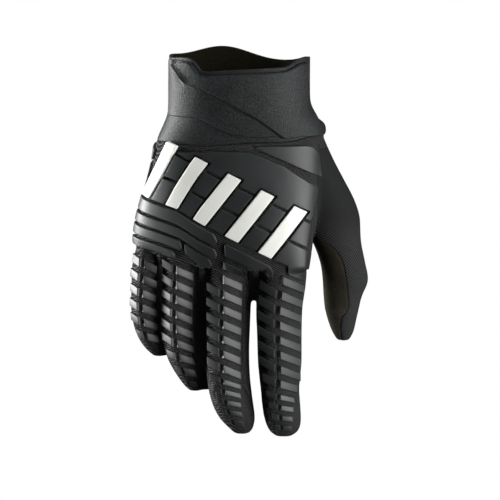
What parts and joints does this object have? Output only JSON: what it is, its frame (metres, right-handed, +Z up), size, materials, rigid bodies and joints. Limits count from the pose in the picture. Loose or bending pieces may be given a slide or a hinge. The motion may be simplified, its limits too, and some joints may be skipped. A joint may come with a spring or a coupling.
{
  "type": "motocross glove",
  "caption": "Slip-on right-hand off-road riding glove with a neoprene cuff, knit back and fingers, moulded rubber guards and ribs, and a suede palm, shown as worn with the fingers down.",
  "frame": {"origin": "the centre of the wrist opening, at the height of the front of its rim", "axes": "+Z up out of the wrist opening, with the fingers pointing down to -Z; -Y is the back of the hand, which faces the camera; +X is the side of the thumb"},
  "size_m": [0.1324, 0.0538, 0.215],
  "materials": {
    "neoprene": "grainy matte black knit face on neoprene foam",
    "knit": "matte black knit with fine grey flecks",
    "suede_leather": "matte olive black microfibre suede",
    "grey_rubber": "satin moulded rubber, dark grey",
    "white_rubber": "satin moulded rubber, off-white"
  },
  "bodies": {
    "root": {"bridge_1": "grey_rubber", "bridge_2": "grey_rubber", "cuff_band": "neoprene", "cuff_sleeve": "neoprene", "cuff_wrap": "neoprene", "gusset_1_a": "knit", "gusset_1_b": "knit", "gusset_1_c": "knit", "gusset_2_a": "knit", "gusset_2_b": "knit", "gusset_2_c": "knit", "gusset_3_a": "knit", "gusset_3_b": "knit", "index_bars": "grey_rubber", "knit_back": "knit", "knit_index": "knit", "knit_middle": "knit", "knit_pinky": "knit", "knit_ring": "knit", "knit_thumb": "knit", "leather_index": "suede_leather", "leather_middle": "suede_leather", "leather_palm": "suede_leather", "leather_pinky": "suede_leather", "leather_ring": "suede_leather", "leather_thumb": "suede_leather", "lug_1": "white_rubber", "lug_2": "white_rubber", "lug_3": "white_rubber", "lug_4": "white_rubber", "lug_5": "white_rubber", "middle_bars": "grey_rubber", "pinky_bars": "grey_rubber", "plate_corner": "grey_rubber", "plate_main": "grey_rubber", "rib_1": "grey_rubber", "rib_2": "grey_rubber", "rib_3": "grey_rubber", "rib_4": "grey_rubber", "ring_bars": "grey_rubber", "side_lower": "grey_rubber", "side_upper": "grey_rubber", "thumb_leather": "suede_leather", "tile_1_1": "grey_rubber", "tile_1_2": "grey_rubber", "tile_1_3": "grey_rubber", "tile_1_4": "grey_rubber", "tile_1_5": "grey_rubber", "tile_2_1": "grey_rubber", "tile_2_2": "grey_rubber", "tile_2_3": "grey_rubber", "tile_2_4": "grey_rubber", "tile_2_5": "grey_rubber"}
  },
  "joints": []
}
